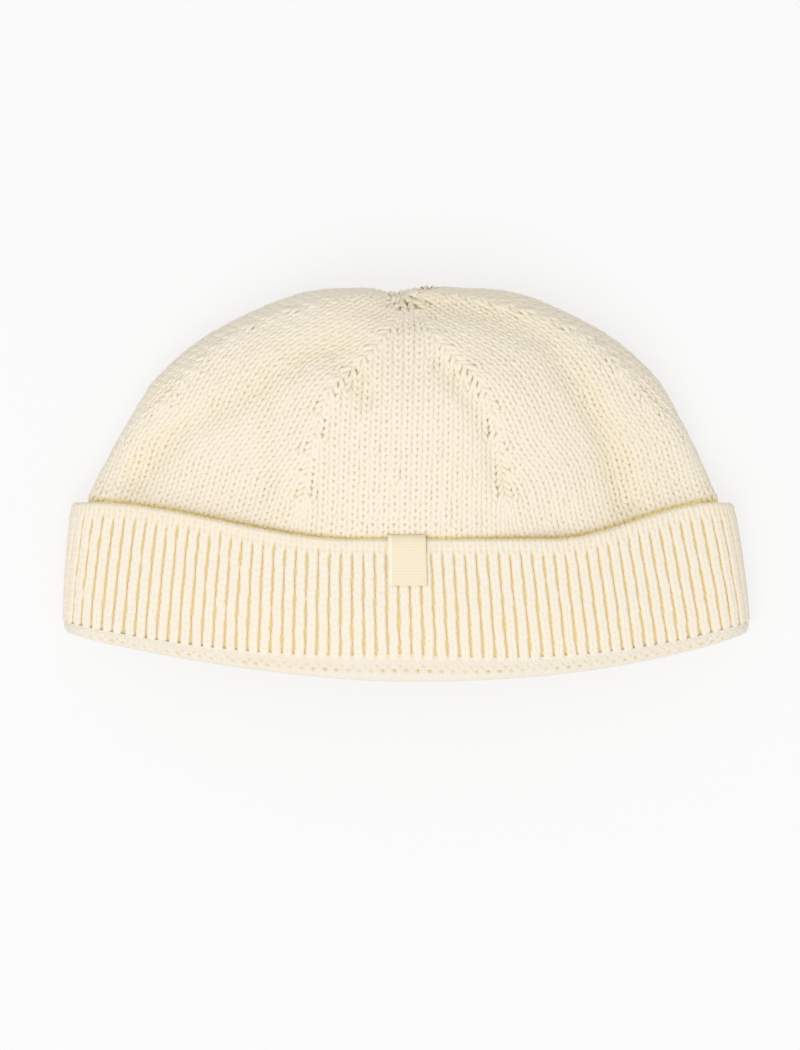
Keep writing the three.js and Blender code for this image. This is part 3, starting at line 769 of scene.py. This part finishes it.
# Each stretch of the cuff: first rib, rib after the last, and then points and sides of a loop's yarn
CUFF_PARTS = (("front_right", 0, 32, 12, 6), ("back", 32, 94, 8, 4), ("front_left", 94, RIBS, 12, 6))
for name, first, last, samples, sides in CUFF_PARTS:
    points, faces, painted_shade, _ = yarn(CUFF_WALL, rib_paths(first, last, samples), RIB_YARN, sides, RIB_SPREAD)
    # Painted shade and glow on the edge's roll and the knit behind it
    painted_shade = np.maximum(painted_shade, EDGE_PAINTED_SHADE * ease((past_edge(points) - EDGE_SHADE_START) / EDGE_SHADE_FADE))
    mesh_piece(f"cuff_{name}_ribs", points, faces, RIB_WOOL, "cuff", painted_shade)

ground = sparse(CUFF_WALL.rings - GROUND_DEPTH * CUFF_WALL.out)[:EDGE_ROW - 1:GROUND_SKIP]
behind = sparse(CUFF_WALL.rings - BEHIND_DEPTH * CUFF_WALL.out)[:EDGE_ROW - 1:BEHIND_SKIP]
cuff_ground = off_table(np.concatenate([ground, behind[::-1]]), BACKING_GAP)
mesh_piece("cuff_ground", cuff_ground.reshape(-1, 3), lofted(cuff_ground, True), RIB_GROUND, "cuff")


# The label is a short woven tape, folded over the cuff's edge and sewn down. Its fine cross ribs and its
# lighter selvedge show, and it is left bare.
LABEL_WIDTH, LABEL_DROP, LABEL_TUCK, LABEL_THICKNESS, LABEL_GAP = 12.7, 15.8, 8.0, 0.6, 0.5
LABEL_COLUMNS, FRONT_POINTS, FRONT_STEPS, TURN_DEGREES, TUCK_STEPS = 24, 600, 14, 15, 6
SELVEDGE, TAPE_BUMP = 1.4, 0.0002
WEFT_SCALE, WARP_SCALE, SLUB_SCALE = 630.0, 1150.0, 420.0
TAPE_HOLLOW, TAPE_THREAD, TAPE_SELVEDGE = (0.86, 0.74, 0.51, 1), (1.0, 0.89, 0.69, 1), (0.97, 0.90, 0.74, 1)


def front_frame(share):
    """Place, way out and way up in the middle of the cuff's front, at a share of its height."""
    rings = [ring(cuff_section(near), FRONT_POINTS) for near in (share - 0.01, share, share + 0.01)]
    front = Wall(np.array(rings))
    return front.rings[1, 0], front.out[1, 0], front.along[1, 0]


label_path = []
for step in np.linspace(0, 1, FRONT_STEPS):
    at, out, up = front_frame(1 - (LABEL_DROP - EDGE_RADIUS) / CUFF_HEIGHT * (1 - step))
    label_path.append((at, out))
at, out, up = front_frame(1)
for angle in np.radians(np.arange(TURN_DEGREES, 180, TURN_DEGREES)):
    turned = out * math.cos(angle) + up * math.sin(angle)
    label_path.append((at - EDGE_RADIUS * out + EDGE_RADIUS * turned, turned))
for step in np.linspace(0, 1, TUCK_STEPS):
    at, out, up = front_frame(1 - LABEL_TUCK * step / CUFF_HEIGHT)
    label_path.append((at - RIB_WALL * out, -out))
tape_across = np.linspace(-0.5, 0.5, LABEL_COLUMNS) * LABEL_WIDTH
label_rings = []
for at, out in label_path:
    top, low = at + (LABEL_GAP + LABEL_THICKNESS) * out, at + LABEL_GAP * out
    label_rings.append([top + (x + LABEL_SHIFT, 0, 0) for x in tape_across]
                       + [low + (x + LABEL_SHIFT, 0, 0) for x in tape_across[::-1]])
label_rings = np.array(label_rings)
tape_ends = (label_rings[[0, -1]] + label_rings[[0, -1], ::-1]) / 2
label_rings = np.concatenate([tape_ends[:1], label_rings, tape_ends[1:]])

LABEL_TAPE, tape, start = finish("woven_beige_tape")
place = start.of("ShaderNodeTexCoord", 3)
weft = start.of("ShaderNodeTexWave", 1, {"bands_direction": "Y"}, Vector=place, Scale=WEFT_SCALE,
                Distortion=0.6, Detail=1.0)
warp = start.of("ShaderNodeTexWave", 1, None, Vector=place, Scale=WARP_SCALE, Distortion=0.4)
slub = start.of("ShaderNodeTexNoise", 0, None, Vector=place, Scale=SLUB_SCALE, Detail=2.0)
side = start.of("ShaderNodeSeparateXYZ", 0, None, Vector=place)
selvedge_line = EDGE_SHIFT + LABEL_SHIFT - LABEL_WIDTH / 2 + SELVEDGE
selvedge = side.sum("LESS_THAN", side, selvedge_line * MILLIMETRE)
thread = (weft * 0.7 + slub * 0.3).blend(TAPE_HOLLOW, TAPE_THREAD)
selvedge.blend(thread, TAPE_SELVEDGE).into(tape.inputs["Base Color"])
(0.7 + slub * 0.2).into(tape.inputs["Roughness"])
height = weft + warp * 0.35 + slub * 0.3
bump = start.of("ShaderNodeBump", 0, None, Height=height, Strength=0.5, Distance=TAPE_BUMP)
bump.into(tape.inputs["Normal"])
tape.inputs["Specular IOR Level"].default_value = 0.2
mesh_piece("label_tape", label_rings.reshape(-1, 3), lofted(label_rings), LABEL_TAPE, "label")


# The photograph's setting is a white table seen from straight above, in soft and even light. A broad
# softbox stands below the hem, a weaker one hangs overhead, and white walls give the rest.
FLOOR_HALF, FLOOR_DROP, FLOOR_GREY, FLOOR_GLOW, SURROUND = 6, 0.0005, 0.25, 0.695, 0.71
floor_mesh = bpy.data.meshes.new("floor")
floor_ways = ((-1, -1), (1, -1), (1, 1), (-1, 1))
floor_corners = [(x * FLOOR_HALF, y * FLOOR_HALF, -FLOOR_DROP) for x, y in floor_ways]
floor_mesh.from_pydata(floor_corners, [], [(0, 1, 2, 3)])
floor = bpy.data.objects.new("floor", floor_mesh)
bpy.context.collection.objects.link(floor)
paint, plain, start = finish("pale_floor")
plain.inputs["Base Color"].default_value = (FLOOR_GREY, FLOOR_GREY, FLOOR_GREY, 1)
plain.inputs["Roughness"].default_value = 0.9
plain.inputs["Specular IOR Level"].default_value = 0
plain.inputs["Emission Color"].default_value = (1, 1, 1, 1)
plain.inputs["Emission Strength"].default_value = FLOOR_GLOW
floor_mesh.materials.append(paint)

world = bpy.data.worlds.new("studio")
bpy.context.scene.world = world
world.use_nodes = True
world.node_tree.nodes["Background"].inputs["Color"].default_value = (1, 1, 1, 1)
world.node_tree.nodes["Background"].inputs["Strength"].default_value = SURROUND
# Name, place and size in metres, and power in watts
SOFTBOXES = (("key", (-0.24, -0.72, 1.5), 1.2, 10.5), ("overhead", (0.0, 0.0, 1.8), 1.3, 3.4))
for name, place, size, power in SOFTBOXES:
    lamp = bpy.data.lights.new(name, "AREA")
    lamp.size, lamp.energy = size, power
    light = bpy.data.objects.new(name, lamp)
    light.location = place
    light.rotation_euler = (-Vector(place)).to_track_quat("-Z", "Y").to_euler()
    bpy.context.collection.objects.link(light)

PHOTO_WIDTH, HAT_LEVEL, SENSOR = 0.2667, 0.025, 36
CAMERA_PLACE = (-0.00217, -0.014, 2.5)
camera_data = bpy.data.cameras.new("camera")
camera_data.sensor_fit = "HORIZONTAL"
camera_data.sensor_width = SENSOR
camera_data.lens = SENSOR * (CAMERA_PLACE[2] - HAT_LEVEL) / PHOTO_WIDTH
camera = bpy.data.objects.new("camera", camera_data)
camera.location = CAMERA_PLACE
bpy.context.collection.objects.link(camera)
bpy.context.scene.camera = camera
bpy.context.scene.view_settings.view_transform = "Standard"
